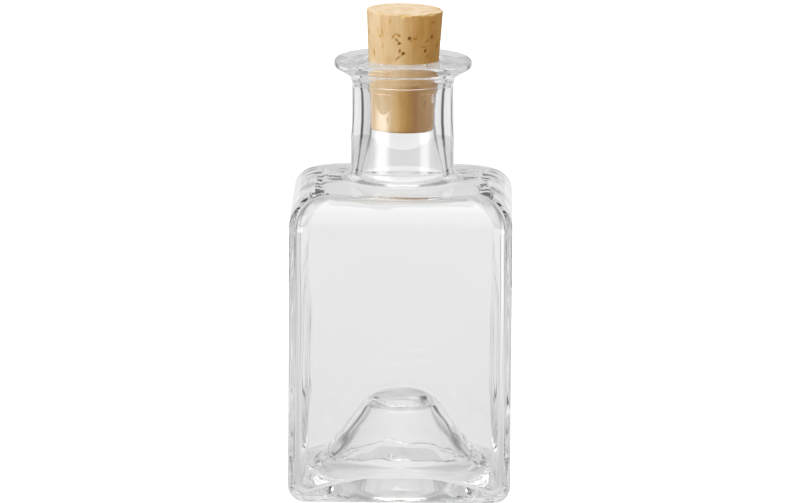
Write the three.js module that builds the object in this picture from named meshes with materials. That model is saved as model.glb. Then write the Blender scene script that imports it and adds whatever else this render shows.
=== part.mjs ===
// Square bottle of clear glass, empty, with a deep cone pushed up into its base, a flanged
// mouth and a tapered natural cork.
// Millimetres, +Z up. The origin is the middle of the base, and the front face looks along -Y.
import * as THREE from "three";

// Body, outside
const BODY_HALF = 31;
const BODY_CORNER = 5;
const HEEL_RADIUS = 4.5;
const SHOULDER_TOP = 86.8;
const SHOULDER_RADIUS = 8.2;
const SHOULDER_RISE = 0.8;
const SHOULDER_CORNER = 9;
const PANEL_SINK = 0.3;

// Body, inside
const WALL = 2.7;
const CAVITY_HALF = BODY_HALF - WALL;
const CAVITY_CORNER = 3.2;
const CAVITY_TOP = 84.5;
const CAVITY_SHOULDER_RADIUS = 7.2;
const CAVITY_SHOULDER_CORNER = 4.5;
const FLOOR_FILLET = 2.4;
// How far the inside of each wall swells inwards: right, back, left and front.
const PANEL_SWELL = [3.7, 1, 3.8, 0.8];

// Pushed-up base
const PUNT_TOP = 22;
const PUNT_TOP_RADIUS = 7.4;
const PUNT_FOOT_RADIUS = 23.2;
const PUNT_EDGES = [3, 1.5];
const DOME_TOP = 26.5;
const DOME_TOP_RADIUS = 8.4;
const DOME_FOOT_RADIUS = 22.2;
const DOME_FOOT_LEVEL = 7.6;
const DOME_EDGES = [13, 6];
// The floor between the dome and the walls falls away towards the corners.
const FLOOR_SIDE_RADIUS = 28.5;
const FLOOR_SIDE_LEVEL = 6.8;
const FLOOR_EDGE_RADIUS = 37;
const FLOOR_EDGE_LEVEL = 2.8;

// Neck, with a small moulding ring under the flanged lip
const NECK_FOOT_RADIUS = 14.6;
const NECK_TOP_RADIUS = 14.2;
const NECK_FILLET = 3.6;
const RING_LEVEL = 114.8;
const RING_PROUD = 0.25;
const LIP_RADIUS = 19.3;
const LIP_TOP = 121.2;
const LIP_RIM = 2.2;
const LIP_ROUNDING = 1;
const LIP_UNDERSIDE_SLOPE = THREE.MathUtils.degToRad(31);
const LIP_UNDERSIDE_FILLET = 2.4;

// Cork, a plain cone that leans a little in the mouth
const CORK_TOP = 135.1;
const CORK_TOP_RADIUS = 10.7;
const CORK_BOTTOM = 101.6;
const CORK_BOTTOM_RADIUS = 8.7;
const CORK_TOP_EDGE = 0.4;
const CORK_BOTTOM_EDGE = 1;
const CORK_LEAN = THREE.MathUtils.degToRad(1);
const CORK_PIVOT = 111;
const CORK_CLEARANCE = 0.45;

// Bore: it fits the cork, opens out below it and ends in a flare under the shoulder
const MOUTH_ROUNDING = 0.9;
const BORE_WIDE_RADIUS = 11.4;
const BORE_WIDE_LEVEL = 90.5;
const BORE_FOOT_RADIUS = 11.9;
const BORE_FOOT_LEVEL = 87.4;
const BORE_FLARE_RADIUS = 17;
const BORE_FLARE_LEVEL = 85.5;
const BORE_FILLETS = [40, 12, 3];

// Fineness of the faceting
const FACE_STEPS = 4;
const CORNER_STEPS = 3;
const ARC_STEP = THREE.MathUtils.degToRad(30);
const WALL_STEPS = 7;
const FLOOR_STEPS = 8;
const CORK_SIDES = 48;

const { lerp, smoothstep } = THREE.MathUtils;

// The directions round the bottle, counter-clockwise from +X, closer together at the four upright edges.
function directions() {
  const edgeStart = Math.atan((BODY_HALF - BODY_CORNER) / BODY_HALF);
  const octant = [];
  for (let i = 0; i < FACE_STEPS; i += 1) octant.push((edgeStart * i) / FACE_STEPS);
  for (let i = 0; i <= CORNER_STEPS; i += 1) {
    octant.push(lerp(edgeStart, Math.PI / 4, i / CORNER_STEPS));
  }
  const face = [...octant.slice(1).map((angle) => -angle).reverse(), ...octant.slice(0, -1)];
  return [0, 1, 2, 3].flatMap((side) => face.map((angle) => angle + (side * Math.PI) / 2));
}

// How far a direction is from the middle of the face that it points at.
function offFace(angle) {
  const quarter = Math.PI / 2;
  return Math.abs(angle - quarter * Math.round(angle / quarter));
}

// Distance from the axis to a square with rounded corners, along one direction.
function squareRadius(angle, half, corner) {
  const off = offFace(angle);
  const straight = half - corner;
  if (half * Math.tan(off) <= straight) return half / Math.cos(off);
  const across = straight * (Math.cos(off) - Math.sin(off));
  return straight * (Math.cos(off) + Math.sin(off)) + Math.sqrt(corner ** 2 - across ** 2);
}

// 1 in the middle of a face, falling smoothly to 0 where its rounded corners start.
function faceFullness(angle, half, corner) {
  const along = (half * Math.tan(offFace(angle))) / (half - corner);
  return along < 1 ? (1 - along ** 2) ** 2 : 0;
}

// 0 at both ends of a wall's height, with a long level stretch at 1 between them.
function heightFullness(share) {
  return 1 - (2 * share - 1) ** 4;
}

// The swell of an inner wall lies low in the wall: 0 at both ends of its height and 1 between.
function swellFullness(share) {
  return smoothstep(share, 0, 0.3) * (1 - smoothstep(share, 0.55, 0.92));
}

// A wall that stands in from the square by a depth that is greatest in the middle of each face.
function sunkenRadius(angle, half, corner, depth) {
  return squareRadius(angle, half, corner)
    - (depth * faceFullness(angle, half, corner)) / Math.cos(offFace(angle));
}

// Profile points [radius, height] along a chain of corners [radius, height, fillet radius].
function roundedPath(corners) {
  const points = corners.map(([radius, height]) => new THREE.Vector2(radius, height));
  const path = [];
  points.forEach((point, i) => {
    const fillet = corners[i][2] ?? 0;
    if (!fillet) {
      path.push([point.x, point.y]);
      return;
    }
    const before = points[i - 1].clone().sub(point).normalize();
    const after = points[i + 1].clone().sub(point).normalize();
    const opening = Math.acos(before.dot(after));
    const centre = before.clone().add(after).setLength(fillet / Math.sin(opening / 2)).add(point);
    const start = before.multiplyScalar(fillet / Math.tan(opening / 2)).add(point).sub(centre);
    const end = after.multiplyScalar(fillet / Math.tan(opening / 2)).add(point).sub(centre);
    const turn = Math.atan2(start.cross(end), start.dot(end));
    const steps = Math.max(1, Math.round(Math.abs(turn) / ARC_STEP));
    for (let k = 0; k <= steps; k += 1) {
      const spoke = start.clone().rotateAround(new THREE.Vector2(), (turn * k) / steps);
      path.push([centre.x + spoke.x, centre.y + spoke.y]);
    }
  });
  return path;
}

// The height of a profile that runs outwards from the axis, at one radius.
function heightAt(path, radius) {
  const next = path.findIndex(([r]) => r >= radius);
  if (next < 0) return path.at(-1)[1];
  if (next === 0) return path[0][1];
  const [r0, z0] = path[next - 1];
  const [r1, z1] = path[next];
  return lerp(z0, z1, (radius - r0) / (r1 - r0));
}

// Stations are functions from a direction to [radius, height]. A round profile has one for each point.
const roundStations = (path) => path.map(([radius, height]) => () => [radius, height]);

// Evenly spaced shares of a quarter turn, from 0 to 90 degrees.
function quarterTurn() {
  const steps = Math.round(Math.PI / 2 / ARC_STEP);
  return Array.from({ length: steps + 1 }, (_, i) => ((Math.PI / 2) * i) / steps);
}

// Underside: the hollow cone, the flat bearing ring and the heel.
function baseStations() {
  const punt = roundedPath([
    [PUNT_TOP_RADIUS / 2, PUNT_TOP],
    [PUNT_TOP_RADIUS, PUNT_TOP, PUNT_EDGES[0]],
    [PUNT_FOOT_RADIUS, 0, PUNT_EDGES[1]],
    [BODY_HALF, 0],
  ]);
  const heel = quarterTurn().map((turn) => (angle) => {
    const inset = HEEL_RADIUS * (1 - Math.sin(turn));
    return [
      squareRadius(angle, BODY_HALF - inset, BODY_CORNER - inset),
      HEEL_RADIUS * (1 - Math.cos(turn)),
    ];
  });
  return [...roundStations(punt.slice(0, -1)), ...heel];
}

// The four outer faces, each a little sunk between the heel and the shoulder.
function outerWallStations() {
  const top = SHOULDER_TOP - SHOULDER_RADIUS;
  const stations = [];
  for (let i = 1; i < WALL_STEPS; i += 1) {
    const share = i / WALL_STEPS;
    const depth = PANEL_SINK * heightFullness(share);
    stations.push((angle) => [
      sunkenRadius(angle, BODY_HALF, BODY_CORNER, depth),
      lerp(HEEL_RADIUS, top, share),
    ]);
  }
  return stations;
}

// A square shoulder that rounds over, with corners that grow rounder on the way in.
function shoulderStations(half, corner, top, radius, topCorner) {
  return quarterTurn().map((turn) => {
    const inset = radius * (1 - Math.cos(turn));
    const narrowedCorner = lerp(corner, topCorner, inset / radius);
    const height = top - radius * (1 - Math.sin(turn));
    return (angle) => [squareRadius(angle, half - inset, narrowedCorner), height];
  });
}

// The bore's radius at one height of the stretch that holds the cork.
function boreRadius(height) {
  const share = (height - CORK_BOTTOM) / (CORK_TOP - CORK_BOTTOM);
  return lerp(CORK_BOTTOM_RADIUS, CORK_TOP_RADIUS, share) + CORK_CLEARANCE;
}

// Neck, flanged lip and the bore that holds the cork, down to the inside of the shoulder.
function neckStations() {
  const ringRadius = NECK_TOP_RADIUS + RING_PROUD;
  const lipBottom = LIP_TOP - LIP_RIM;
  const flareLevel = lipBottom - (LIP_RADIUS - ringRadius) * Math.tan(LIP_UNDERSIDE_SLOPE);
  const profile = [
    [NECK_FOOT_RADIUS + NECK_FILLET, SHOULDER_TOP + SHOULDER_RISE / 2],
    [NECK_FOOT_RADIUS, SHOULDER_TOP + SHOULDER_RISE, NECK_FILLET],
    [NECK_TOP_RADIUS, RING_LEVEL - RING_PROUD],
    [ringRadius, RING_LEVEL],
    [ringRadius, flareLevel, LIP_UNDERSIDE_FILLET],
    [LIP_RADIUS, lipBottom, LIP_ROUNDING],
    [LIP_RADIUS, LIP_TOP, LIP_ROUNDING],
    [boreRadius(LIP_TOP), LIP_TOP, MOUTH_ROUNDING],
    [boreRadius(CORK_BOTTOM), CORK_BOTTOM, BORE_FILLETS[0]],
    [BORE_WIDE_RADIUS, BORE_WIDE_LEVEL, BORE_FILLETS[1]],
    [BORE_FOOT_RADIUS, BORE_FOOT_LEVEL, BORE_FILLETS[2]],
    [BORE_FLARE_RADIUS, BORE_FLARE_LEVEL],
  ];
  return roundStations(roundedPath(profile));
}

// The inside of the four walls. Each swells inwards by its own depth, and they end on the uneven floor.
function innerWallStations(floor) {
  const top = CAVITY_TOP - CAVITY_SHOULDER_RADIUS;
  const stations = [];
  for (let i = WALL_STEPS - 1; i > 0; i -= 1) {
    const share = i / WALL_STEPS;
    stations.push((angle) => {
      const side = (Math.round((2 * angle) / Math.PI) + 4) % 4;
      const depth = PANEL_SWELL[side] * swellFullness(share);
      const foot = heightAt(floor, squareRadius(angle, CAVITY_HALF, CAVITY_CORNER)) + FLOOR_FILLET;
      return [sunkenRadius(angle, CAVITY_HALF, CAVITY_CORNER, depth), lerp(foot, top, share)];
    });
  }
  return stations;
}

// The fillet from the walls to the floor, then the floor and the dome up to near the axis.
function floorStations(floor) {
  const fillet = quarterTurn().reverse().map((turn) => (angle) => {
    const inset = FLOOR_FILLET * (1 - Math.sin(turn));
    const radius = squareRadius(angle, CAVITY_HALF - inset, CAVITY_CORNER - inset);
    return [radius, heightAt(floor, radius) + FLOOR_FILLET * (1 - Math.cos(turn))];
  });
  const edgeHalf = CAVITY_HALF - FLOOR_FILLET;
  const edgeCorner = CAVITY_CORNER - FLOOR_FILLET;
  const inner = [];
  for (let i = FLOOR_STEPS - 1; i > 0; i -= 1) {
    const share = i / FLOOR_STEPS;
    inner.push((angle) => {
      const edge = lerp(edgeHalf, squareRadius(angle, edgeHalf, edgeCorner), share ** 2);
      return [share * edge, heightAt(floor, share * edge)];
    });
  }
  return [...fillet, ...inner];
}

// The points of one station, all round the bottle.
function ringOf(station) {
  return directions().map((angle) => {
    const [radius, height] = station(angle);
    return new THREE.Vector3(radius * Math.cos(angle), radius * Math.sin(angle), height);
  });
}

// One closed skin through rings of points, with a pole before the first ring and after the last.
function closedSkin(firstPole, rings, lastPole) {
  const sides = rings[0].length;
  const positions = [firstPole, ...rings.flat(), lastPole].flatMap((point) => point.toArray());
  const at = (ring, side) => 1 + ring * sides + (side % sides);
  const last = rings.length * sides + 1;
  const faces = [];
  for (let side = 0; side < sides; side += 1) {
    faces.push(0, at(0, side + 1), at(0, side));
    for (let ring = 0; ring < rings.length - 1; ring += 1) {
      faces.push(at(ring, side), at(ring, side + 1), at(ring + 1, side));
      faces.push(at(ring, side + 1), at(ring + 1, side + 1), at(ring + 1, side));
    }
    faces.push(last, at(rings.length - 1, side), at(rings.length - 1, side + 1));
  }
  const geometry = new THREE.BufferGeometry();
  geometry.setAttribute("position", new THREE.Float32BufferAttribute(positions, 3));
  geometry.setIndex(faces);
  geometry.computeVertexNormals();
  return geometry;
}

function glassGeometry() {
  const floor = roundedPath([
    [0, DOME_TOP],
    [DOME_TOP_RADIUS, DOME_TOP, DOME_EDGES[0]],
    [DOME_FOOT_RADIUS, DOME_FOOT_LEVEL, DOME_EDGES[1]],
    [FLOOR_SIDE_RADIUS, FLOOR_SIDE_LEVEL],
    [FLOOR_EDGE_RADIUS, FLOOR_EDGE_LEVEL],
  ]);
  const cavityShoulder = shoulderStations(
    CAVITY_HALF, CAVITY_CORNER, CAVITY_TOP, CAVITY_SHOULDER_RADIUS, CAVITY_SHOULDER_CORNER,
  );
  const stations = [
    ...baseStations(),
    ...outerWallStations(),
    ...shoulderStations(BODY_HALF, BODY_CORNER, SHOULDER_TOP, SHOULDER_RADIUS, SHOULDER_CORNER),
    ...neckStations(),
    ...cavityShoulder.reverse(),
    ...innerWallStations(floor),
    ...floorStations(floor),
  ];
  const underside = new THREE.Vector3(0, 0, PUNT_TOP);
  const floorTop = new THREE.Vector3(0, 0, DOME_TOP);
  return closedSkin(underside, stations.map(ringOf), floorTop);
}

// A tapered plug turned about its own axis, with its pivot at the origin.
function corkGeometry() {
  const profile = roundedPath([
    [0, CORK_BOTTOM],
    [CORK_BOTTOM_RADIUS, CORK_BOTTOM, CORK_BOTTOM_EDGE],
    [CORK_TOP_RADIUS, CORK_TOP, CORK_TOP_EDGE],
    [0, CORK_TOP],
  ]);
  const points = profile.map(([radius, height]) => new THREE.Vector2(radius, height - CORK_PIVOT));
  return new THREE.LatheGeometry(points, CORK_SIDES).rotateX(Math.PI / 2);
}

const glass = new THREE.Mesh(
  glassGeometry(),
  new THREE.MeshStandardMaterial({
    color: 0xeef2f1,
    roughness: 0.03,
    metalness: 0,
    transparent: true,
    opacity: 0.35,
  }),
);
glass.name = "glass_bottle";

const cork = new THREE.Mesh(
  corkGeometry(),
  new THREE.MeshStandardMaterial({ color: 0xd0a86f, roughness: 0.85, metalness: 0 }),
);
cork.name = "cork";
cork.position.z = CORK_PIVOT;
cork.rotation.y = CORK_LEAN;

const bottle = new THREE.Group();
bottle.add(glass, cork);

export default bottle;
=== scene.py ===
"""Looks of the square glass bottle: clear glass, natural cork, a pale floor and soft studio light."""
import math

import bpy
import numpy as np
from mathutils import Matrix, Quaternion, Vector


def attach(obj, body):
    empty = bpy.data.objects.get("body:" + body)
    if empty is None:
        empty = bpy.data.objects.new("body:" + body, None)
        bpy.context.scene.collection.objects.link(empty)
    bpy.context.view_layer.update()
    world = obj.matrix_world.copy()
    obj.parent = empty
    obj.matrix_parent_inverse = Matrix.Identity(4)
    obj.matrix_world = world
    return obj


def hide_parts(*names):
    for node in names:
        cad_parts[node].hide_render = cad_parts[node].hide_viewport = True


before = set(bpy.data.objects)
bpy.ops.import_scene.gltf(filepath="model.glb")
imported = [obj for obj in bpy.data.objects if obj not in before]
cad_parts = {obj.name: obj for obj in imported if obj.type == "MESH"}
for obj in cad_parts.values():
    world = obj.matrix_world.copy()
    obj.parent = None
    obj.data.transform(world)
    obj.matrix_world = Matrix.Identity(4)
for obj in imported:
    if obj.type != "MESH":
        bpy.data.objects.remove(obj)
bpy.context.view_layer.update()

# Lengths below are in millimetres, as in the part's source, and MM turns them into metres.
MM = 0.001

# Body, outside
BODY_HALF = 31.0
BODY_CORNER = 5.0
HEEL_RADIUS = 4.5
SHOULDER_TOP = 86.8
SHOULDER_RADIUS = 8.2
SHOULDER_RISE = 0.8
SHOULDER_CORNER = 9.0
PANEL_SINK = 0.3

# Body, inside
WALL = 2.7
CAVITY_HALF = BODY_HALF - WALL
CAVITY_CORNER = 3.2
CAVITY_TOP = 84.5
CAVITY_SHOULDER_RADIUS = 7.2
CAVITY_SHOULDER_CORNER = 4.5
FLOOR_FILLET = 2.4
# How far the inside of each wall swells inwards where it is fullest: right, back, left and front.
PANEL_SWELL = (3.7, 1.0, 3.8, 0.8)

# Pushed-up base
PUNT_TOP = 22.0
PUNT_TOP_RADIUS = 7.4
PUNT_FOOT_RADIUS = 23.2
PUNT_EDGES = (3.0, 1.5)
DOME_TOP = 26.5
DOME_TOP_RADIUS = 8.4
DOME_FOOT_RADIUS = 22.2
DOME_FOOT_LEVEL = 7.6
DOME_EDGES = (13.0, 6.0)
FLOOR_SIDE_RADIUS = 28.5
FLOOR_SIDE_LEVEL = 6.8
FLOOR_EDGE_RADIUS = 37.0
FLOOR_EDGE_LEVEL = 2.8

# Slight unevenness of the inside: height of the ripples, their length and the seed of their pattern.
WALL_RIPPLE = (0.07, 17.0, 1)
FLOOR_RIPPLE = (0.11, 6.0, 2)
CEILING_RIPPLE = (0.05, 13.0, 3)
RIPPLE_WAVES = 7
# The ripples fade in over these heights above the floor's side and above the foot of the shoulder.
WALL_RIPPLE_FADE = 6.0
CEILING_RIPPLE_FADE = 3.0

# Bubbles in the glass of the neck and of the pushed-up floor: centre and half sizes.
BUBBLES = [
    ((8.1, -10.2, 111.8), (0.36, 0.36, 1.3)),
    ((-2.3, -17.5, 10.9), (1.1, 0.9, 1.0)),
]
BUBBLE_TURNS = 24
BUBBLE_LEVELS = 12

# Neck and lip
NECK_FOOT_RADIUS = 14.6
NECK_TOP_RADIUS = 14.2
NECK_FILLET = 3.6
RING_LEVEL = 114.8
RING_PROUD = 0.25
LIP_RADIUS = 19.3
LIP_TOP = 121.2
LIP_RIM = 2.2
LIP_ROUNDING = 1.0
LIP_UNDERSIDE_SLOPE = math.radians(31)
LIP_UNDERSIDE_FILLET = 2.4

# Cork
CORK_TOP = 135.1
CORK_TOP_RADIUS = 10.7
CORK_BOTTOM = 101.6
CORK_BOTTOM_RADIUS = 8.7
CORK_TOP_EDGE = 0.4
CORK_BOTTOM_EDGE = 1.0
CORK_LEAN = math.radians(1)
CORK_PIVOT = 111.0
CORK_CLEARANCE = 0.45
CORK_WAVE = 0.04
# Beyond this share of its full radius a ring lies on the cork's side, and not on its ends.
CORK_SIDE_SHARE = 0.92
# Pores of the cork: place round its side from the front, height, half length, half width, how far
# they lean in radians, and depth.
PORES = [
    (-8.3, 130.2, 1.2, 0.2, -0.35, 0.16),
    (-6.7, 129.9, 1.3, 0.22, -0.45, 0.2),
    (-7.5, 128.6, 0.4, 0.6, -0.4, 0.14),
    (-6.7, 125.6, 1.3, 0.16, 0.3, 0.12),
    (-3.1, 128.9, 0.75, 0.24, 0.6, 0.3),
    (-2.2, 129.6, 0.24, 0.8, -0.1, 0.25),
    (-1.4, 129.2, 0.35, 0.4, 0.0, 0.4),
    (-2.0, 127.9, 0.7, 0.28, -0.6, 0.4),
    (-1.3, 127.0, 0.35, 0.5, -0.4, 0.55),
    (1.7, 128.5, 0.5, 0.5, 0.6, 0.6),
    (2.3, 127.8, 0.6, 0.2, -0.6, 0.3),
    (3.4, 128.3, 0.3, 0.8, 0.3, 0.2),
    (4.1, 129.5, 0.9, 0.16, 0.2, 0.16),
    (9.2, 128.5, 0.5, 0.6, 0.6, 0.5),
    (7.5, 127.6, 0.8, 0.3, 0.9, 0.25),
    (6.4, 126.0, 0.22, 1.3, 0.0, 0.25),
    (7.0, 124.8, 0.55, 0.45, 0.4, 0.45),
    (7.9, 123.1, 0.7, 0.26, 0.0, 0.35),
    (-1.1, 124.9, 0.5, 0.3, 0.2, 0.45),
    (0.0, 124.2, 0.4, 0.6, -0.4, 0.55),
    (-1.7, 122.8, 1.1, 0.2, 0.8, 0.35),
    (-4.2, 133.0, 0.8, 0.3, 0.2, 0.14),
    (9.4, 132.6, 0.25, 0.9, -0.3, 0.2),
    (-4.3, 105.3, 0.8, 0.3, -0.3, 0.25),
    (6.9, 109.8, 0.9, 0.4, 0.3, 0.3),
    (12.5, 126.0, 1.2, 0.4, 0.4, 0.4),
    (15.8, 119.5, 1.6, 0.35, -0.4, 0.4),
    (19.0, 128.0, 0.8, 0.6, 0.2, 0.5),
    (23.5, 122.5, 1.4, 0.3, 0.3, 0.35),
    (28.0, 117.5, 1.0, 0.5, -0.6, 0.45),
    (31.5, 127.0, 1.2, 0.35, 0.5, 0.35),
    (-31.0, 131.0, 0.9, 0.35, -0.3, 0.35),
    (-25.5, 124.0, 1.1, 0.4, 0.4, 0.4),
    (-20.5, 129.5, 0.8, 0.5, 0.2, 0.45),
    (-10.5, 123.5, 1.1, 0.4, -0.3, 0.4),
    (-13.5, 129.0, 0.9, 0.3, 0.5, 0.3),
]
# Chipped places on the cork's top edge: place round its side, half width and depth.
CHIPS = [
    (-0.5, 1.5, 0.7),
    (1.2, 0.8, 0.4),
    (8.6, 2.2, 0.6),
    (5.4, 0.9, 0.3),
    (-7.6, 0.9, 0.35),
    (19.0, 2.0, 0.6),
    (-24.0, 1.4, 0.4),
]

# How ragged the outlines of pores and chips are, as a share of their size, how steeply a pore sinks in,
# and how far its stain reaches round it
PORE_RAGGEDNESS = 0.3
CHIP_RAGGEDNESS = 0.25
PORE_STEEPNESS = 1.8
STAIN_REACH = 1.9

# Bore
MOUTH_ROUNDING = 0.9
BORE_WIDE_RADIUS = 11.4
BORE_WIDE_LEVEL = 90.5
BORE_FOOT_RADIUS = 11.9
BORE_FOOT_LEVEL = 87.4
BORE_FLARE_RADIUS = 17.0
BORE_FLARE_LEVEL = 85.5
BORE_FILLETS = (40.0, 12.0, 3.0)

# Fineness of the meshes
FACE_STEPS = 12
CORNER_STEPS = 18
ARC_STEP = math.radians(4.5)
WALL_STEPS = 36
FLOOR_STEPS = 40
LONGEST_STEP = 1.5
CORK_STEP = 0.25
CORK_SIDES = 320
# Radius of the small ring round a pole, as a share of the flat end that it closes.
POLE_SHARE = 1 / 20


def lerp(a, b, t):
    """The value at share t of the way from a to b."""
    return a + (b - a) * t


def directions():
    """The directions round the bottle, closer together at the four upright edges."""
    edge_start = math.atan((BODY_HALF - BODY_CORNER) / BODY_HALF)
    octant = np.concatenate([
        np.linspace(0, edge_start, FACE_STEPS, endpoint=False),
        np.linspace(edge_start, math.pi / 4, CORNER_STEPS + 1),
    ])
    face = np.concatenate([-octant[:0:-1], octant[:-1]])
    return np.concatenate([face + side * math.pi / 2 for side in range(4)])


def off_face(angle):
    """How far each direction is off the middle of the nearest face."""
    quarter = math.pi / 2
    return np.abs(angle - quarter * np.round(angle / quarter))


def square_radius(angle, half, corner):
    """Distance from the axis to a square with rounded corners, along each direction."""
    off = off_face(angle)
    straight = half - corner
    across = straight * (np.cos(off) - np.sin(off))
    round_part = np.sqrt(np.maximum(corner ** 2 - across ** 2, 0))
    at_corner = straight * (np.cos(off) + np.sin(off)) + round_part
    return np.where(half * np.tan(off) <= straight, half / np.cos(off), at_corner)


def face_fullness(angle, half, corner):
    """1 at the middle of a face, and smoothly down to 0 where its rounded edges start."""
    along = half * np.tan(off_face(angle)) / (half - corner)
    return np.where(along < 1, (1 - np.minimum(along, 1) ** 2) ** 2, 0)


def height_fullness(share):
    """1 at half height, and 0 at the foot and the top of a wall."""
    return 1 - (2 * share - 1) ** 4


def smoothstep(x, low, high):
    """0 below low, 1 above high, and a smooth step between them."""
    t = min(max((x - low) / (high - low), 0), 1)
    return t * t * (3 - 2 * t)


def swell_fullness(share):
    """How full the swell of an inner wall is at one share of its height: it lies low in the wall."""
    return smoothstep(share, 0, 0.3) * (1 - smoothstep(share, 0.55, 0.92))


def sunken_radius(angle, half, corner, depth):
    """As square_radius, with each face sunk by the depth at its middle."""
    sink = depth * face_fullness(angle, half, corner) / np.cos(off_face(angle))
    return square_radius(angle, half, corner) - sink


def rounded_path(corners):
    """Profile points along a chain of corners (radius, height, fillet radius), with round fillets."""
    points = [Vector(corner[:2]) for corner in corners]
    path = []
    for i, point in enumerate(points):
        fillet = corners[i][2] if len(corners[i]) > 2 else 0
        if not fillet:
            path.append(point)
            continue
        before = (points[i - 1] - point).normalized()
        after = (points[i + 1] - point).normalized()
        opening = before.angle(after)
        centre = point + (before + after).normalized() * (fillet / math.sin(opening / 2))
        start = point + before * (fillet / math.tan(opening / 2)) - centre
        end = point + after * (fillet / math.tan(opening / 2)) - centre
        turn = math.atan2(start.x * end.y - start.y * end.x, start.dot(end))
        steps = max(2, round(abs(turn) / ARC_STEP))
        for k in range(steps + 1):
            a = turn * k / steps
            spoke = Vector((
                start.x * math.cos(a) - start.y * math.sin(a),
                start.x * math.sin(a) + start.y * math.cos(a),
            ))
            path.append(centre + spoke)
    return path


def with_short_steps(path, longest=LONGEST_STEP):
    """The same path, with extra points on its long straight stretches."""
    out = [path[0]]
    for a, b in zip(path, path[1:]):
        count = max(1, math.ceil((b - a).length / longest))
        out.extend(a.lerp(b, k / count) for k in range(1, count + 1))
    return out


def height_at(path, radius):
    """Heights of a profile that runs outwards from the axis, at each radius."""
    return np.interp(radius, [p.x for p in path], [p.y for p in path])


def round_stations(path):
    """One round ring for each point of a profile."""
    return [lambda angle, p=p: (np.full_like(angle, p.x), np.full_like(angle, p.y)) for p in path]


def quarter_turn():
    """Angles from 0 to a quarter turn, in fine steps."""
    steps = round(math.pi / 2 / ARC_STEP)
    return [math.pi / 2 * i / steps for i in range(steps + 1)]


def base_stations():
    """Hollow cone, flat bearing ring and heel."""
    punt = rounded_path([
        (PUNT_TOP_RADIUS * POLE_SHARE, PUNT_TOP),
        (PUNT_TOP_RADIUS, PUNT_TOP, PUNT_EDGES[0]),
        (PUNT_FOOT_RADIUS, 0, PUNT_EDGES[1]),
        (BODY_HALF, 0),
    ])
    stations = round_stations(with_short_steps(punt[:-1]))

    def heel(turn):
        inset = HEEL_RADIUS * (1 - math.sin(turn))
        height = HEEL_RADIUS * (1 - math.cos(turn))
        return lambda angle: (
            square_radius(angle, BODY_HALF - inset, BODY_CORNER - inset),
            np.full_like(angle, height),
        )

    return stations + [heel(turn) for turn in quarter_turn()]


def outer_wall_stations():
    """Upright walls, whose faces sink in very slightly."""
    top = SHOULDER_TOP - SHOULDER_RADIUS
    stations = []
    for i in range(1, WALL_STEPS):
        share = i / WALL_STEPS
        depth = PANEL_SINK * height_fullness(share)
        height = lerp(HEEL_RADIUS, top, share)
        stations.append(lambda angle, depth=depth, height=height: (
            sunken_radius(angle, BODY_HALF, BODY_CORNER, depth),
            np.full_like(angle, height),
        ))
    return stations


def shoulder_stations(half, corner, top, radius, top_corner):
    """A square shoulder that rounds over, with corners that grow rounder on the way in."""
    stations = []
    for turn in quarter_turn():
        inset = radius * (1 - math.cos(turn))
        narrowed = half - inset
        narrowed_corner = lerp(corner, top_corner, inset / radius)
        height = top - radius * (1 - math.sin(turn))
        stations.append(lambda angle, half=narrowed, corner=narrowed_corner, height=height: (
            square_radius(angle, half, corner),
            np.full_like(angle, height),
        ))
    return stations


def cork_radius(height):
    """Radius of the cork's taper at each height."""
    share = (height - CORK_BOTTOM) / (CORK_TOP - CORK_BOTTOM)
    return lerp(CORK_BOTTOM_RADIUS, CORK_TOP_RADIUS, share)


def bore_radius(height):
    """The bore is as wide as the cork at each height, and a little clearance more."""
    return cork_radius(height) + CORK_CLEARANCE


def neck_stations():
    """Neck, moulding ring, flanged lip, mouth, and the bore down to where it opens into the body."""
    ring_radius = NECK_TOP_RADIUS + RING_PROUD
    lip_bottom = LIP_TOP - LIP_RIM
    flare_level = lip_bottom - (LIP_RADIUS - ring_radius) * math.tan(LIP_UNDERSIDE_SLOPE)
    profile = rounded_path([
        (NECK_FOOT_RADIUS + NECK_FILLET, SHOULDER_TOP + SHOULDER_RISE / 2),
        (NECK_FOOT_RADIUS, SHOULDER_TOP + SHOULDER_RISE, NECK_FILLET),
        (NECK_TOP_RADIUS, RING_LEVEL - RING_PROUD),
        (ring_radius, RING_LEVEL),
        (ring_radius, flare_level, LIP_UNDERSIDE_FILLET),
        (LIP_RADIUS, lip_bottom, LIP_ROUNDING),
        (LIP_RADIUS, LIP_TOP, LIP_ROUNDING),
        (bore_radius(LIP_TOP), LIP_TOP, MOUTH_ROUNDING),
        (bore_radius(CORK_BOTTOM), CORK_BOTTOM, BORE_FILLETS[0]),
        (BORE_WIDE_RADIUS, BORE_WIDE_LEVEL, BORE_FILLETS[1]),
        (BORE_FOOT_RADIUS, BORE_FOOT_LEVEL, BORE_FILLETS[2]),
        (BORE_FLARE_RADIUS, BORE_FLARE_LEVEL),
    ])
    return round_stations(with_short_steps(profile))


def inner_wall_stations(floor):
    """Inside of the walls from the top down, with the swell of each face."""
    top = CAVITY_TOP - CAVITY_SHOULDER_RADIUS
    foot_radius = square_radius(directions(), CAVITY_HALF, CAVITY_CORNER)
    foot = height_at(floor, foot_radius) + FLOOR_FILLET
    depth = np.take(PANEL_SWELL, np.round(2 * directions() / math.pi).astype(int) % 4)
    stations = []
    for i in range(WALL_STEPS - 1, 0, -1):
        share = i / WALL_STEPS
        stations.append(lambda angle, share=share: (
            sunken_radius(angle, CAVITY_HALF, CAVITY_CORNER, depth * swell_fullness(share)),
            lerp(foot, top, share),
        ))
    return stations


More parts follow.
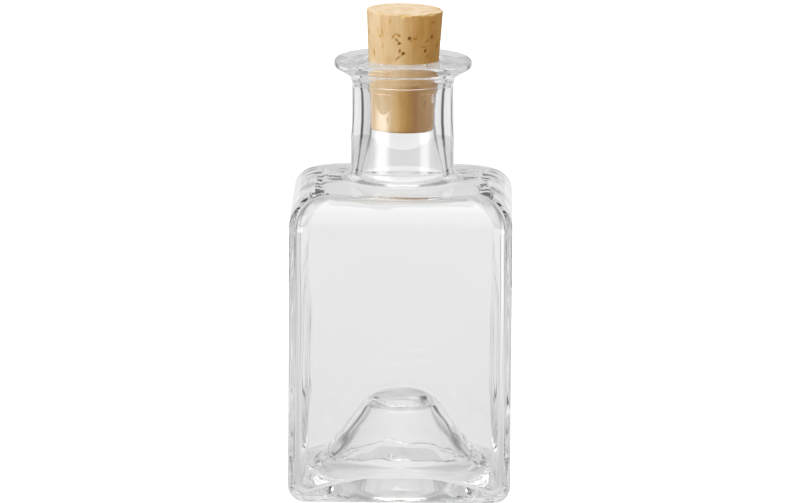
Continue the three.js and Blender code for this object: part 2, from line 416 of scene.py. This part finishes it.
def floor_stations(floor):
    """Inside floor from its fillet inwards, square at the edge and round in the middle."""
    def fillet(turn):
        inset = FLOOR_FILLET * (1 - math.sin(turn))
        rise = FLOOR_FILLET * (1 - math.cos(turn))

        def station(angle):
            radius = square_radius(angle, CAVITY_HALF - inset, CAVITY_CORNER - inset)
            return radius, height_at(floor, radius) + rise
        return station

    edge_half = CAVITY_HALF - FLOOR_FILLET
    edge_corner = CAVITY_CORNER - FLOOR_FILLET

    def inner(share):
        def station(angle):
            edge = lerp(edge_half, square_radius(angle, edge_half, edge_corner), share ** 2)
            return share * edge, height_at(floor, share * edge)
        return station

    stations = [fillet(turn) for turn in reversed(quarter_turn())]
    return stations + [inner(i / FLOOR_STEPS) for i in range(FLOOR_STEPS - 1, 0, -1)]


def ring_of(station):
    """The points of one station, all round the bottle."""
    angle = directions()
    radius, height = station(angle)
    return np.stack([radius * np.cos(angle), radius * np.sin(angle), height], axis=1)


def fill_smooth(mesh, points, faces):
    """Fill an empty mesh with smooth-shaded faces over points in millimetres."""
    mesh.from_pydata((points * MM).tolist(), [], faces)
    mesh.polygons.foreach_set("use_smooth", [True] * len(mesh.polygons))
    mesh.update()


def closed_skin(name, first_pole, rings, last_pole):
    """One closed skin through rings of points, with a pole before the first ring and after the last."""
    sides = len(rings[0])
    points = np.vstack([[first_pole], *rings, [last_pole]])
    last = len(rings) * sides + 1
    faces = []
    for side in range(sides):
        after = (side + 1) % sides
        faces.append((0, 1 + after, 1 + side))
        for ring in range(len(rings) - 1):
            low = 1 + ring * sides
            high = low + sides
            faces.append((low + side, low + after, high + after, high + side))
        top = 1 + (len(rings) - 1) * sides
        faces.append((last, top + side, top + after))
    mesh = bpy.data.meshes.new(name)
    fill_smooth(mesh, points, faces)
    piece = bpy.data.objects.new(name, mesh)
    bpy.context.scene.collection.objects.link(piece)
    return piece


def ripple(points, kind):
    """Smooth pseudo-random waves at points in space, of one kind (height, length, seed)."""
    height, length, seed = kind
    draw = np.random.default_rng(seed)
    total = 0
    for _ in range(RIPPLE_WAVES):
        direction = draw.normal(size=3)
        direction *= 2 * math.pi / (np.linalg.norm(direction) * length * draw.uniform(0.7, 1.6))
        total = total + np.sin(points @ direction + draw.uniform(0, 2 * math.pi))
    return height * total / (RIPPLE_WAVES / 2)


def rippled(ring):
    """An inner ring with the slight unevenness of blown glass.

    It runs sideways on the walls, and up and down on the floor and under the shoulder.
    """
    height = ring[:, 2]
    by_wall = np.hypot(ring[:, 0], ring[:, 1]) > CAVITY_HALF - 2
    on_wall = by_wall * np.clip((height - FLOOR_SIDE_LEVEL) / WALL_RIPPLE_FADE, 0, 1)
    on_floor = (1 - on_wall) * (height < DOME_TOP + 1)
    shoulder_foot = CAVITY_TOP - CAVITY_SHOULDER_RADIUS
    on_ceiling = np.clip((height - shoulder_foot) / CEILING_RIPPLE_FADE, 0, 1)
    out = ring.copy()
    out[:, :2] *= (1 + on_wall * ripple(ring, WALL_RIPPLE) / CAVITY_HALF)[:, None]
    out[:, 2] += on_floor * ripple(ring, FLOOR_RIPPLE)
    out[:, 2] += on_ceiling * ripple(ring, CEILING_RIPPLE)
    return out


def bubble(centre, radii):
    """An oval hollow inside the glass: its points, and its faces turned to look into the hollow."""
    turns, levels = BUBBLE_TURNS, BUBBLE_LEVELS
    points = [(0, 0, -1)]
    for level in range(1, levels):
        tilt = math.pi * (level / levels - 0.5)
        for turn in range(turns):
            a = 2 * math.pi * turn / turns
            points.append((math.cos(tilt) * math.cos(a), math.cos(tilt) * math.sin(a), math.sin(tilt)))
    points.append((0, 0, 1))
    faces = []
    last = len(points) - 1
    for turn in range(turns):
        after = (turn + 1) % turns
        faces.append((0, 1 + turn, 1 + after))
        for level in range(levels - 2):
            low, high = 1 + level * turns, 1 + (level + 1) * turns
            faces.append((low + turn, high + turn, high + after, low + after))
        low = 1 + (levels - 2) * turns
        faces.append((last, low + after, low + turn))
    return np.array(points) * radii + centre, faces


def add_bubbles(mesh):
    """Join the bubbles to the glass, as hollows in it."""
    points = [np.array([v.co for v in mesh.vertices]) / MM]
    faces = [tuple(polygon.vertices) for polygon in mesh.polygons]
    for centre, radii in BUBBLES:
        start = sum(len(part) for part in points)
        hollow, its_faces = bubble(np.array(centre), np.array(radii))
        points.append(hollow)
        faces.extend(tuple(start + i for i in face) for face in its_faces)
    mesh.clear_geometry()
    fill_smooth(mesh, np.vstack(points), faces)


def make_glass():
    """The bottle as one closed skin: outside, lip, bore and inside."""
    floor = with_short_steps(rounded_path([
        (0, DOME_TOP),
        (DOME_TOP_RADIUS, DOME_TOP, DOME_EDGES[0]),
        (DOME_FOOT_RADIUS, DOME_FOOT_LEVEL, DOME_EDGES[1]),
        (FLOOR_SIDE_RADIUS, FLOOR_SIDE_LEVEL),
        (FLOOR_EDGE_RADIUS, FLOOR_EDGE_LEVEL),
    ]))
    stations = [
        *base_stations(),
        *outer_wall_stations(),
        *shoulder_stations(BODY_HALF, BODY_CORNER, SHOULDER_TOP, SHOULDER_RADIUS, SHOULDER_CORNER),
        *neck_stations(),
    ]
    inside = [
        *reversed(shoulder_stations(
            CAVITY_HALF, CAVITY_CORNER, CAVITY_TOP, CAVITY_SHOULDER_RADIUS, CAVITY_SHOULDER_CORNER,
        )),
        *inner_wall_stations(floor),
        *floor_stations(floor),
    ]
    rings = [ring_of(station) for station in stations]
    rings.extend(rippled(ring_of(station)) for station in inside)
    piece = closed_skin("bottle_glass", (0, 0, PUNT_TOP), rings, (0, 0, DOME_TOP))
    add_bubbles(piece.data)
    return piece


def wavy(a, b, seed):
    """Smooth pseudo-random waves between about -1 and 1 over two coordinates."""
    draw = np.random.default_rng(seed)
    total = 0
    for octave in range(5):
        turn_a, turn_b, phase = draw.uniform(-1, 1), draw.uniform(-1, 1), draw.uniform(0, 2 * math.pi)
        total = total + np.sin((a * (1 + turn_a) + b * (1 + turn_b)) * 1.6 ** octave + phase)
    return total / 3


def pore_depth(around, height):
    """How deep the pores of the cork's side are, and how dark their stain, at places in mm."""
    depth, stain = np.zeros_like(around), np.zeros_like(around)
    ragged = PORE_RAGGEDNESS * wavy(around * 4.2, height * 4.6, 3)
    for x, z, length, width, lean, deep in PORES:
        along = (height - z) * math.cos(lean) + (around - x) * math.sin(lean)
        across = (around - x) * math.cos(lean) - (height - z) * math.sin(lean)
        off = np.hypot(along / length, across / width) + ragged
        depth = np.maximum(depth, deep * np.clip(PORE_STEEPNESS * (1 - off), 0, 1))
        stain = np.maximum(stain, (0.4 + deep) * np.clip(1 - off / STAIN_REACH, 0, 1))
    return depth, np.clip(stain, 0, 1)


def edge_chips(around, height):
    """Bites out of the cork's top edge, which go deeper towards the edge."""
    depth = np.zeros_like(around)
    ragged = CHIP_RAGGEDNESS * wavy(around * 5, height * 5, 7)
    for x, width, deep in CHIPS:
        reach_down = 0.9 * deep + 0.3
        off = np.hypot((around - x) / width, (CORK_TOP - height) / reach_down)
        depth = np.maximum(depth, deep * np.clip(1 - off + ragged, 0, 1))
    return depth


def store(mesh, name, values):
    """Store one value at each point of a mesh, for its material to read."""
    mesh.attributes.new(name, "FLOAT", "POINT").data.foreach_set("value", values)


def make_cork():
    """The tapered cork, with pores and chips in its side, leaning a little in the mouth."""
    profile = with_short_steps(rounded_path([
        (CORK_BOTTOM_RADIUS * POLE_SHARE, CORK_BOTTOM),
        (CORK_BOTTOM_RADIUS, CORK_BOTTOM, CORK_BOTTOM_EDGE),
        (CORK_TOP_RADIUS, CORK_TOP, CORK_TOP_EDGE),
        (CORK_TOP_RADIUS * POLE_SHARE, CORK_TOP),
    ]), CORK_STEP)
    angle = np.linspace(0, 2 * math.pi, CORK_SIDES, endpoint=False)
    around = ((angle - math.pi / 2) % (2 * math.pi) - math.pi) * CORK_TOP_RADIUS
    rings, pores, chips = [], [0.0], [0.0]
    for p in profile:
        height = np.full_like(angle, p.y)
        side = p.x > CORK_SIDE_SHARE * cork_radius(p.y)
        pore, stain = pore_depth(around, height)
        chip = edge_chips(around, height)
        wave = CORK_WAVE * (1 + wavy(around, height / 3, 5))
        radius = p.x * (1 - side * (pore + chip + wave) / CORK_TOP_RADIUS)
        rings.append(np.stack([radius * np.cos(angle), radius * np.sin(angle), height], axis=1))
        pores.extend((side * stain).tolist())
        chips.extend((side * chip).tolist())
    piece = closed_skin("cork_plug", (0, 0, CORK_BOTTOM), rings, (0, 0, CORK_TOP))
    store(piece.data, "pore", [*pores, 0.0])
    store(piece.data, "chip", [*chips, 0.0])
    pivot = Vector((0, 0, CORK_PIVOT * MM))
    lean = Matrix.Translation(pivot) @ Matrix.Rotation(CORK_LEAN, 4, "Y") @ Matrix.Translation(-pivot)
    piece.data.transform(lean)
    return piece


def shader(name):
    """A new material with its Principled shader: (material, nodes, links, principled)."""
    material = bpy.data.materials.new(name)
    material.use_nodes = True
    nodes = material.node_tree.nodes
    return material, nodes, material.node_tree.links, nodes["Principled BSDF"]


def feed(links, value, socket):
    """Link an output to a socket, or set the socket to a number or a colour."""
    if isinstance(value, (int, float)):
        socket.default_value = value
    elif isinstance(value, tuple):
        socket.default_value = (*value, 1)
    else:
        links.new(value, socket)


def apart(nodes, links, vector):
    """The three parts of a vector."""
    node = nodes.new("ShaderNodeSeparateXYZ")
    links.new(vector, node.inputs["Vector"])
    return node.outputs["X"], node.outputs["Y"], node.outputs["Z"]


def maths(nodes, links, operation, *values):
    """A maths node on sockets and numbers."""
    node = nodes.new("ShaderNodeMath")
    node.operation = operation
    for socket, value in zip(node.inputs, values):
        feed(links, value, socket)
    return node.outputs["Value"]


def step_between(nodes, links, value, low, high):
    """0 below low, 1 above high, and a smooth step between them."""
    node = nodes.new("ShaderNodeMapRange")
    node.interpolation_type = "SMOOTHSTEP"
    node.inputs["From Min"].default_value = low
    node.inputs["From Max"].default_value = high
    links.new(value, node.inputs["Value"])
    return node.outputs["Result"]


def blend(nodes, links, share, a, b):
    """From number a to number b by the share."""
    node = nodes.new("ShaderNodeMix")
    links.new(share, node.inputs["Factor"])
    feed(links, a, node.inputs["A"])
    feed(links, b, node.inputs["B"])
    return node.outputs["Result"]


def tint(nodes, links, share, a, b, way="MIX"):
    """From colour a to colour b by the share, or a multiplied by b to the extent of the share."""
    node = nodes.new("ShaderNodeMix")
    node.data_type = "RGBA"
    node.blend_type = way
    links.new(share, node.inputs["Factor"])
    feed(links, a, node.inputs[6])
    feed(links, b, node.inputs[7])
    return node.outputs[2]


def colour_ramp(nodes, links, value, stops):
    """The colour at each of the stops (value, colour), and evenly between them."""
    ramp = nodes.new("ShaderNodeValToRGB")
    elements = ramp.color_ramp.elements
    while len(elements) < len(stops):
        elements.new(0.5)
    for element, (at, colour) in zip(elements, stops):
        element.position = at
        element.color = (*colour, 1)
    links.new(value, ramp.inputs["Fac"])
    return ramp.outputs["Color"]


def noise(nodes, links, place, stretch, scale, detail=4.0):
    """Noise between about 0.2 and 0.8, with its pattern stretched by the three factors."""
    mapping = nodes.new("ShaderNodeMapping")
    mapping.inputs["Scale"].default_value = stretch
    links.new(place, mapping.inputs["Vector"])
    pattern = nodes.new("ShaderNodeTexNoise")
    pattern.inputs["Scale"].default_value = scale
    pattern.inputs["Detail"].default_value = detail
    links.new(mapping.outputs["Vector"], pattern.inputs["Vector"])
    return pattern.outputs["Fac"]


def stored(nodes, name):
    """A value that the mesh stores at its points."""
    node = nodes.new("ShaderNodeAttribute")
    node.attribute_name = name
    return node.outputs["Fac"]


def glass_material():
    """Clear glass with a very slight tint, that lets most light through to the floor."""
    material, nodes, links, glass = shader("clear_glass")
    glass.inputs["Base Color"].default_value = (0.993, 0.995, 0.994, 1)
    glass.inputs["Roughness"].default_value = 0
    glass.inputs["IOR"].default_value = 1.5
    glass.inputs["Transmission Weight"].default_value = 1
    through = nodes.new("ShaderNodeBsdfTransparent")
    through.inputs["Color"].default_value = (0.8, 0.8, 0.8, 1)
    rays = nodes.new("ShaderNodeLightPath")
    mix = nodes.new("ShaderNodeMixShader")
    links.new(rays.outputs["Is Shadow Ray"], mix.inputs["Fac"])
    links.new(glass.outputs["BSDF"], mix.inputs[1])
    links.new(through.outputs["BSDF"], mix.inputs[2])
    links.new(mix.outputs["Shader"], nodes["Material Output"].inputs["Surface"])
    return material


# Cork colours from its pale side to its golden side, by share of the way across: partly the cork's own
# tone, and partly painted shade that darkens it towards the golden side
CORK_TONE_AND_PAINTED_SHADE = [
    (0, (0.66, 0.5, 0.31)),
    (0.35, (0.6, 0.44, 0.25)),
    (0.6, (0.52, 0.34, 0.15)),
    (1, (0.45, 0.245, 0.065)),
]
# Painted shade that the part of the cork below the lip is multiplied by: darker and more amber towards
# the golden side, then lighter again at the far edge as a painted highlight
CORK_PAINTED_SHADE_BELOW_LIP = [
    (0.2, (1, 1, 1)),
    (0.42, (0.96, 0.85, 0.58)),
    (0.64, (0.82, 0.67, 0.32)),
    (0.83, (0.64, 0.45, 0.12)),
    (0.96, (0.96, 0.92, 0.5)),
    (1, (1, 0.96, 0.75)),
]
# What its bands, clouds, streaks, grain and stains multiply it by
CORK_BAND = (0.9, 0.86, 0.76)
CORK_WARM = (0.97, 0.9, 0.84)
CORK_STREAK = (0.95, 0.92, 0.86)
CORK_GRAIN = (0.9, 0.87, 0.82)
CORK_STAIN = (0.86, 0.76, 0.46)
# Colours of its flat ends, of its chips and of the bottom of its pores
CORK_END = (0.8, 0.65, 0.47)
CORK_CHIP = (0.62, 0.45, 0.18)
CORK_PORE = (0.14, 0.06, 0.02)
# Across the cork, in metres, from where it is palest to where it is most golden and darkest with painted
# shade
GOLDEN_AND_SHADED_SIDE = (-0.008, 0.0075)
# Heights, in metres, between which the painted shade of the part below the lip comes in
NECK_PAINTED_SHADE_HEIGHTS = (0.1175, 0.115)
GRAIN_RELIEF = 0.00015


def cork_material():
    """Pale cork that turns golden towards one side, with upright bands, fine grain and dark pores.
    Painted shade darkens it towards the golden side and below the lip, where a painted highlight lightens
    the far edge.
    """
    material, nodes, links, cork = shader("natural_cork")
    place = nodes.new("ShaderNodeTexCoord").outputs["Object"]
    x, _, z = apart(nodes, links, place)
    across = step_between(nodes, links, x, *GOLDEN_AND_SHADED_SIDE)
    in_neck = step_between(nodes, links, z, *NECK_PAINTED_SHADE_HEIGHTS)
    upright = apart(nodes, links, nodes.new("ShaderNodeNewGeometry").outputs["Normal"])[2]
    on_top = step_between(nodes, links, upright, 0.5, 0.9)
    # Own tone of the cork, with painted shade darkening it towards its golden side
    side = colour_ramp(nodes, links, across, CORK_TONE_AND_PAINTED_SHADE)
    shade = colour_ramp(nodes, links, across, CORK_PAINTED_SHADE_BELOW_LIP)
    # Painted shade on the part of the cork below the lip, with a painted highlight at its far edge
    shaded = tint(nodes, links, in_neck, side, shade, "MULTIPLY")
    body = tint(nodes, links, on_top, shaded, CORK_END)
    bands = noise(nodes, links, place, (1, 1, 0.06), 420, 3)
    streaks = noise(nodes, links, place, (1, 1, 0.1), 1500, 5)
    clouds = noise(nodes, links, place, (1, 1, 0.6), 260, 4)
    grain = noise(nodes, links, place, (1, 1, 0.7), 4200, 4)
    pore = stored(nodes, "pore")
    chip = stored(nodes, "chip")
    colour = body
    for pattern, low, high, layer, way in (
        (bands, 0.42, 0.62, CORK_BAND, "MULTIPLY"),
        (clouds, 0.45, 0.68, CORK_WARM, "MULTIPLY"),
        (streaks, 0.5, 0.72, CORK_STREAK, "MULTIPLY"),
        (grain, 0.45, 0.75, CORK_GRAIN, "MULTIPLY"),
        (chip, 0.03, 0.3, CORK_CHIP, "MIX"),
        (pore, 0.1, 0.4, CORK_STAIN, "MULTIPLY"),
        (pore, 0.36, 0.85, CORK_PORE, "MIX"),
    ):
        share = step_between(nodes, links, pattern, low, high)
        colour = tint(nodes, links, share, colour, layer, way)
    links.new(colour, cork.inputs["Base Color"])
    cork.inputs["Roughness"].default_value = 0.82
    cork.inputs["Specular IOR Level"].default_value = 0.25
    relief = nodes.new("ShaderNodeBump")
    relief.inputs["Strength"].default_value = 0.5
    relief.inputs["Distance"].default_value = GRAIN_RELIEF
    links.new(grain, relief.inputs["Height"])
    links.new(relief.outputs["Normal"], cork.inputs["Normal"])
    return material


# Brightness of the studio round the bottle, as its glass sees it, by direction in degrees: 0 is
# straight in front, 90 to the right, -90 to the left and 180 straight behind. The narrow dark gaps behind
# the bottle draw the dark lines in its neck and edges. Three levels, near the ground, a little higher and
# high up, then the ceiling, and the painted light and shade that the ground glows with at the bottle's
# foot.
ROOM_LOW = [
    (-180, 0.89), (-162, 0.86), (-152, 0.74), (-146, 0.06), (-140, 0.03), (-133, 0.68),
    (-120, 0.65), (-100, 0.7), (-70, 0.95), (-45, 0.9), (-25, 0.55), (0, 0.4),
    (25, 0.55), (45, 0.95), (70, 1.05), (100, 1.0), (120, 0.8), (133, 0.72),
    (140, 0.03), (146, 0.06), (152, 0.74), (162, 0.86), (180, 0.89),
]
ROOM_MIDDLE = [
    (-180, 0.66), (-162, 0.8), (-149, 0.8), (-143, 0.2), (-137, 0.75), (-100, 0.75),
    (-60, 1.0), (0, 0.9), (60, 1.1), (100, 1.0), (137, 0.8), (143, 0.2),
    (149, 0.8), (162, 0.8), (180, 0.66),
]
ROOM_HIGH = [
    (-180, 0.8), (-135, 0.45), (-100, 0.7), (-60, 1.5), (0, 1.6), (60, 1.4),
    (100, 0.7), (135, 0.45), (180, 0.8),
]
CEILING = 2.4
GROUND_NEAR_PAINTED_LIGHT = [
    (-180, 0.79), (-130, 0.76), (-90, 0.55), (-50, 0.7), (0, 0.8), (50, 0.7),
    (90, 0.55), (130, 0.76), (180, 0.79),
]
# Degrees above level between which the middle and the high level take over, and then the ceiling
MIDDLE_CLIMB = (2, 10)
HIGH_CLIMB = (13, 30)
CEILING_CLIMB = (55, 75)
# Distances from the bottle, in metres, between which the ground's painted glow goes over from its near
# light and shade to the brightness of the room
GROUND_FADE = (0.03, 0.35)


def level_ramp(nodes, links, degrees, stops):
    """The brightness at each of the stops (degrees, brightness), and smoothly between them."""
    share = maths(nodes, links, "ADD", maths(nodes, links, "DIVIDE", degrees, 360), 0.5)
    ramp = nodes.new("ShaderNodeFloatCurve")
    links.new(share, ramp.inputs["Value"])
    top = max(level for _, level in stops)
    curve = ramp.mapping.curves[0]
    while len(curve.points) < len(stops):
        curve.points.new(0.5, 0.5)
    for point, (at, level) in zip(curve.points, stops):
        point.location = (at / 360 + 0.5, level / top)
        point.handle_type = "AUTO_CLAMPED"
    ramp.mapping.update()
    return maths(nodes, links, "MULTIPLY", ramp.outputs["Value"], top)


def off_front(nodes, links, x, y):
    """How many degrees the direction (x, y) is off the front, to the right or, below 0, to the left."""
    angle = maths(nodes, links, "ARCTAN2", x, maths(nodes, links, "MULTIPLY", y, -1))
    return maths(nodes, links, "DEGREES", angle)


def seen_by_camera(nodes, links, seen, otherwise, output):
    """Show the camera one shader, and every other ray another one."""
    rays = nodes.new("ShaderNodeLightPath")
    mix = nodes.new("ShaderNodeMixShader")
    links.new(rays.outputs["Is Camera Ray"], mix.inputs["Fac"])
    links.new(otherwise, mix.inputs[1])
    links.new(seen, mix.inputs[2])
    links.new(mix.outputs["Shader"], output.inputs["Surface"])


def floor_material():
    """White ground. In glass and in reflections it glows with painted light, the brightness of the studio
    round it, with painted light and shade near the bottle's foot.
    """
    material, nodes, links, paint = shader("floor_white")
    paint.inputs["Base Color"].default_value = (0.9, 0.9, 0.9, 1)
    paint.inputs["Roughness"].default_value = 0.6
    paint.inputs["Specular IOR Level"].default_value = 0.1
    paint.inputs["Emission Color"].default_value = (1, 1, 1, 1)
    paint.inputs["Emission Strength"].default_value = 0.35
    place = nodes.new("ShaderNodeNewGeometry").outputs["Position"]
    x, y, _ = apart(nodes, links, place)
    degrees = off_front(nodes, links, x, y)
    # Painted light and shade that the ground glows with near the bottle's foot, and further out
    near = level_ramp(nodes, links, degrees, GROUND_NEAR_PAINTED_LIGHT)
    far = level_ramp(nodes, links, degrees, ROOM_LOW)
    distance = nodes.new("ShaderNodeVectorMath")
    distance.operation = "LENGTH"
    links.new(place, distance.inputs["Vector"])
    away = step_between(nodes, links, distance.outputs["Value"], *GROUND_FADE)
    glow = nodes.new("ShaderNodeEmission")
    links.new(blend(nodes, links, away, near, far), glow.inputs["Strength"])
    seen_by_camera(
        nodes, links, paint.outputs["BSDF"], glow.outputs["Emission"], nodes["Material Output"],
    )
    material.cycles.emission_sampling = "NONE"
    return material


def make_floor():
    """The wide ground, a hair below the bottle's base."""
    mesh = bpy.data.meshes.new("floor")
    reach, below = 6.0, 1e-5
    corners = [(-reach, -reach, 0), (reach, -reach, 0), (reach, reach, 0), (-reach, reach, 0)]
    mesh.from_pydata(corners, [], [(0, 1, 2, 3)])
    mesh.materials.append(floor_material())
    floor = bpy.data.objects.new("floor", mesh)
    floor.location.z = -below
    bpy.context.scene.collection.objects.link(floor)


def make_world():
    """White for the camera. In glass and in reflections, the studio that the bottle stood in."""
    world = bpy.data.worlds.new("studio")
    bpy.context.scene.world = world
    world.use_nodes = True
    nodes, links = world.node_tree.nodes, world.node_tree.links
    backdrop = nodes["Background"]
    backdrop.inputs["Color"].default_value = (1, 1, 1, 1)
    backdrop.inputs["Strength"].default_value = 1.05
    x, y, z = apart(nodes, links, nodes.new("ShaderNodeTexCoord").outputs["Generated"])
    degrees = off_front(nodes, links, x, y)

    def climb(start, end):
        return step_between(nodes, links, z, math.sin(math.radians(start)), math.sin(math.radians(end)))

    level = level_ramp(nodes, links, degrees, ROOM_LOW)
    for stops, heights in ((ROOM_MIDDLE, MIDDLE_CLIMB), (ROOM_HIGH, HIGH_CLIMB)):
        level = blend(nodes, links, climb(*heights), level, level_ramp(nodes, links, degrees, stops))
    room = nodes.new("ShaderNodeBackground")
    brightness = blend(nodes, links, climb(*CEILING_CLIMB), level, CEILING)
    links.new(brightness, room.inputs["Strength"])
    seen_by_camera(
        nodes, links, backdrop.outputs["Background"], room.outputs["Background"], nodes["World Output"],
    )


def fade_to_sides(lamp):
    """Let a lamp fade towards its left and right edges, for soft-edged highlights."""
    lamp.use_nodes = True
    nodes, links = lamp.node_tree.nodes, lamp.node_tree.links
    place = nodes.new("ShaderNodeNewGeometry").outputs["Parametric"]
    share_across = apart(nodes, links, place)[0]
    from_edge = maths(nodes, links, "PINGPONG", share_across, 0.5)
    links.new(step_between(nodes, links, from_edge, 0.0, 0.4), nodes["Emission"].inputs["Strength"])


def add_softbox(name, at, size, watts, aim):
    """A flat lamp that neither the camera nor rays through the glass see. Lengths in millimetres."""
    lamp = bpy.data.lights.new(name, "AREA")
    lamp.shape = "RECTANGLE"
    lamp.size, lamp.size_y = size[0] * MM, size[1] * MM
    lamp.energy = watts
    softbox = bpy.data.objects.new(name, lamp)
    softbox.location = Vector(at) * MM
    softbox.rotation_mode = "QUATERNION"
    softbox.rotation_quaternion = (Vector(aim) - Vector(at)).to_track_quat("-Z", "Y")
    softbox.visible_camera = False
    softbox.visible_transmission = False
    bpy.context.scene.collection.objects.link(softbox)
    return lamp


def add_camera():
    """A long lens 2 m away, 11.5 degrees above level, turned and tipped by a fraction of a degree."""
    distance, aim_at = 2000.0, Vector((-0.48, 0, 66.05))
    elevation, azimuth, roll = math.radians(11.5), math.radians(0.7), math.radians(0.4)
    lens = bpy.data.cameras.new("camera")
    lens.sensor_width = 36
    lens.lens = 320.2
    lens.clip_end = 50
    camera = bpy.data.objects.new("camera", lens)
    level = Vector((math.sin(azimuth), -math.cos(azimuth), 0))
    eye = aim_at + distance * (math.cos(elevation) * level + math.sin(elevation) * Vector((0, 0, 1)))
    camera.location = eye * MM
    camera.rotation_mode = "QUATERNION"
    camera.rotation_quaternion = (aim_at - eye).to_track_quat("-Z", "Y") @ Quaternion((0, 0, 1), roll)
    bpy.context.scene.collection.objects.link(camera)
    bpy.context.scene.camera = camera


def dress(piece, node, material):
    """Give a piece its material, and let it stand in for its node of the frame."""
    piece.data.materials.append(material)
    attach(piece, "root")
    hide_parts(node)


# Enough for light to cross all the glass and come back out of it.
BOUNCES = 32

add_camera()
dress(make_glass(), "glass_bottle", glass_material())
dress(make_cork(), "cork", cork_material())
make_floor()
make_world()
add_softbox("key", (-900, -900, 700), (1000, 1100), 11, aim=(0, 0, 70))
fade_to_sides(add_softbox("card_left", (-212, -212, 47), (250, 32), 0.17, aim=(0, 0, 47)))
fade_to_sides(add_softbox("card_right", (232, -190, 44), (180, 26), 0.075, aim=(0, 0, 44)))
bpy.context.scene.view_settings.view_transform = "Standard"
bpy.context.scene.cycles.max_bounces = BOUNCES
bpy.context.scene.cycles.glossy_bounces = BOUNCES
bpy.context.scene.cycles.transmission_bounces = BOUNCES
